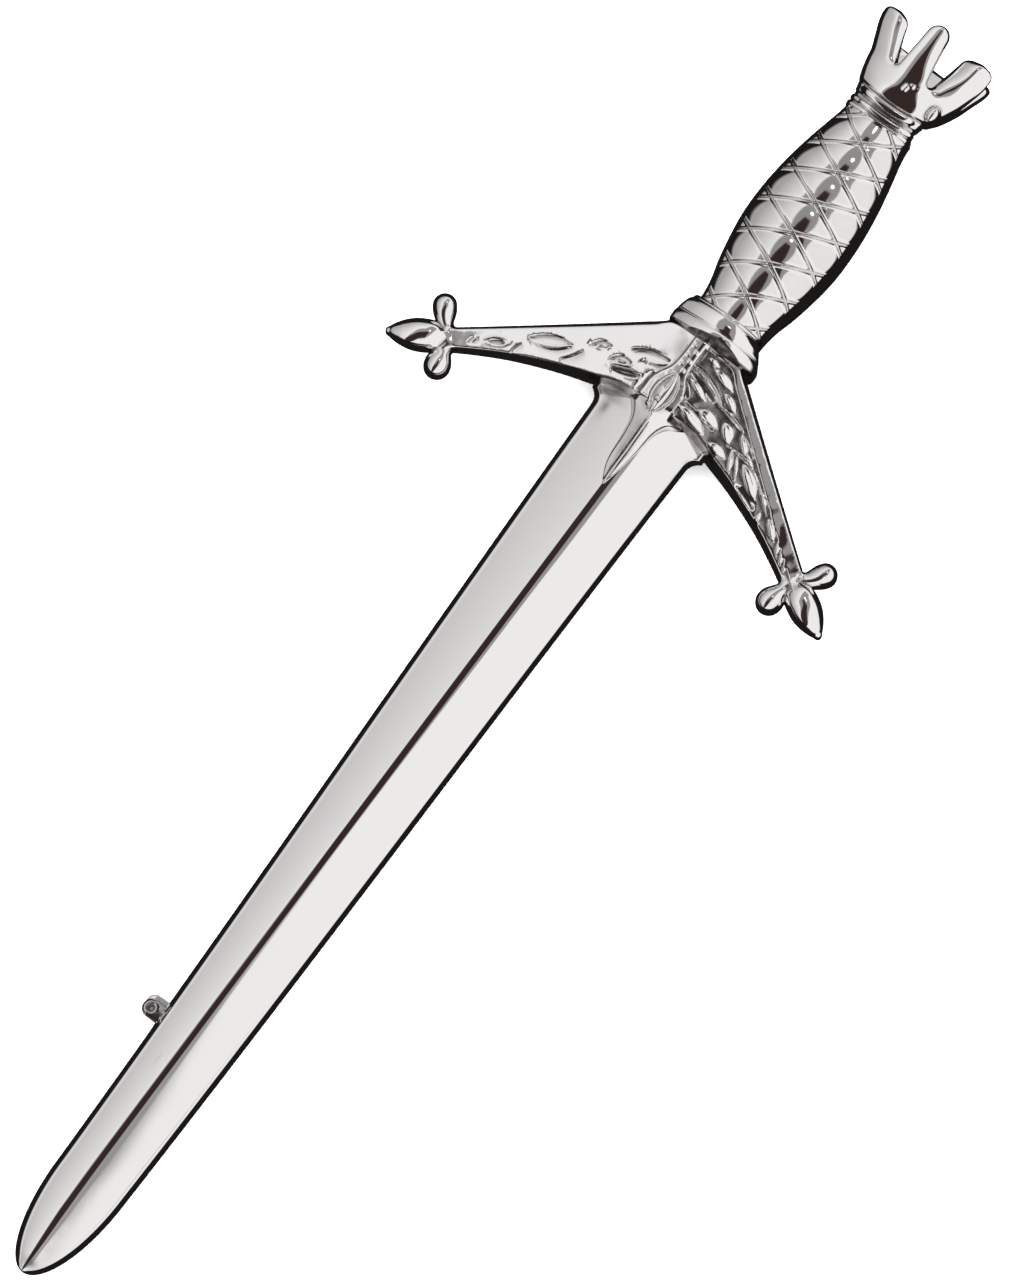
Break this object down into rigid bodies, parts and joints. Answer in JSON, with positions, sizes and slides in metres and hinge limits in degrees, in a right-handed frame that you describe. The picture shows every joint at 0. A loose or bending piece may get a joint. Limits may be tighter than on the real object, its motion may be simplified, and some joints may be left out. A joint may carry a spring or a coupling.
{
  "type": "kilt pin",
  "caption": "Sword-shaped kilt pin: ridged blade, winged guard with leaves and trefoil finials, lattice grip, crown pommel, and a needle with a turning safety catch behind.",
  "frame": {"origin": "middle of the pin's length and width, on the surface that it lies on", "axes": "+Y from the blade's tip to the crown, +Z out of the decorated front, +X across, to the wearer's left arm of the guard"},
  "size_m": [0.0344, 0.1, 0.0094],
  "materials": {
    "cast_chrome": "mirror polished chrome plate over a zinc casting",
    "plated_steel": "bright plated steel with fine drawing marks",
    "plated_sheet": "bright plated sheet steel"
  },
  "bodies": {
    "root": {"sword": "cast_chrome", "pin_bar": "plated_steel"},
    "catch": {"catch_lever": "plated_sheet"}
  },
  "joints": [
    {"name": "catch_turn", "type": "hinge", "parent": "root", "child": "catch", "pos_m": [0, -0.0314, 0.0015], "axis": [0, -1, 0], "range_deg": [0, 100]}
  ]
}
